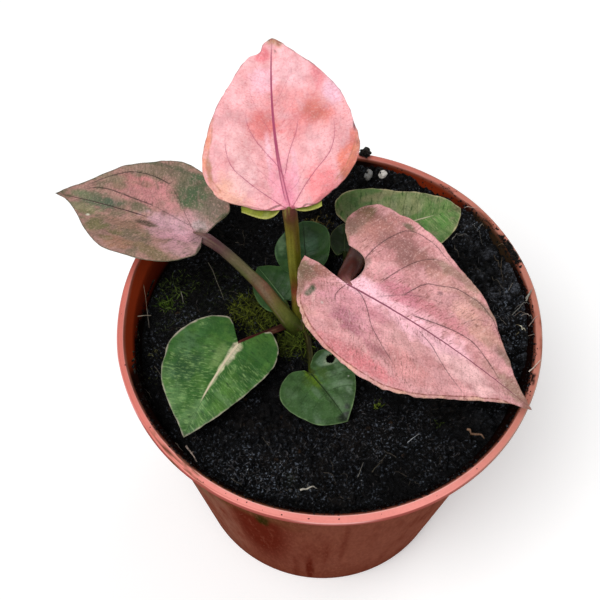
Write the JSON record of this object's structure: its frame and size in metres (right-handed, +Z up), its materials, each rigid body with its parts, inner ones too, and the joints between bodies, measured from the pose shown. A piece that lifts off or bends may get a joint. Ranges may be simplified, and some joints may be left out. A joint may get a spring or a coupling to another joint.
{
  "type": "potted syngonium",
  "caption": "Young syngonium with pink and green arrow-shaped leaves, rooted in dark peat in a small terracotta-coloured nursery pot.",
  "frame": {"origin": "middle of the pot's underside, on the surface that the pot stands on", "axes": "+Z up along the pot's axis; -Y towards the two low front leaves; +X towards the large right leaf's tip"},
  "size_m": [0.1403, 0.12, 0.1802],
  "materials": {
    "terracotta_plastic": "satin, dusty",
    "soil": "wet, crumbly",
    "leaf_pink": "satin, veined",
    "leaf_green": "satin, veined",
    "stalk_green": "satin",
    "stalk_red": "satin",
    "moss": "matte",
    "perlite": "matte",
    "twig": "matte"
  },
  "bodies": {
    "root": {"nursery_pot": "terracotta_plastic", "potting_soil": "soil", "crown_stem": "stalk_green", "leaf_upright": "leaf_pink", "leaf_left": "leaf_pink", "leaf_right": "leaf_pink", "leaf_front_left": "leaf_green", "leaf_front_round": "leaf_green", "leaf_back_right": "leaf_green", "leaf_back_round": "leaf_green", "leaf_small_left": "leaf_green", "leaf_small_back": "leaf_green", "stalk_upright": "stalk_green", "stalk_left": "stalk_green", "stalk_right": "stalk_red", "stalk_front_left": "stalk_red", "stalk_front_round": "stalk_green", "stalk_back_right": "stalk_green", "stalk_back_round": "stalk_green", "stalk_small_left": "stalk_green", "stalk_small_back": "stalk_green", "moss_cushion_left": "moss", "moss_cushion_front": "moss", "moss_cushion_edge": "moss", "perlite_bead_white": "perlite", "perlite_bead_grey": "perlite", "soil_clod_on_rim": "soil", "twig_right": "twig", "twig_front_left": "twig", "twig_front": "twig"}
  },
  "joints": []
}
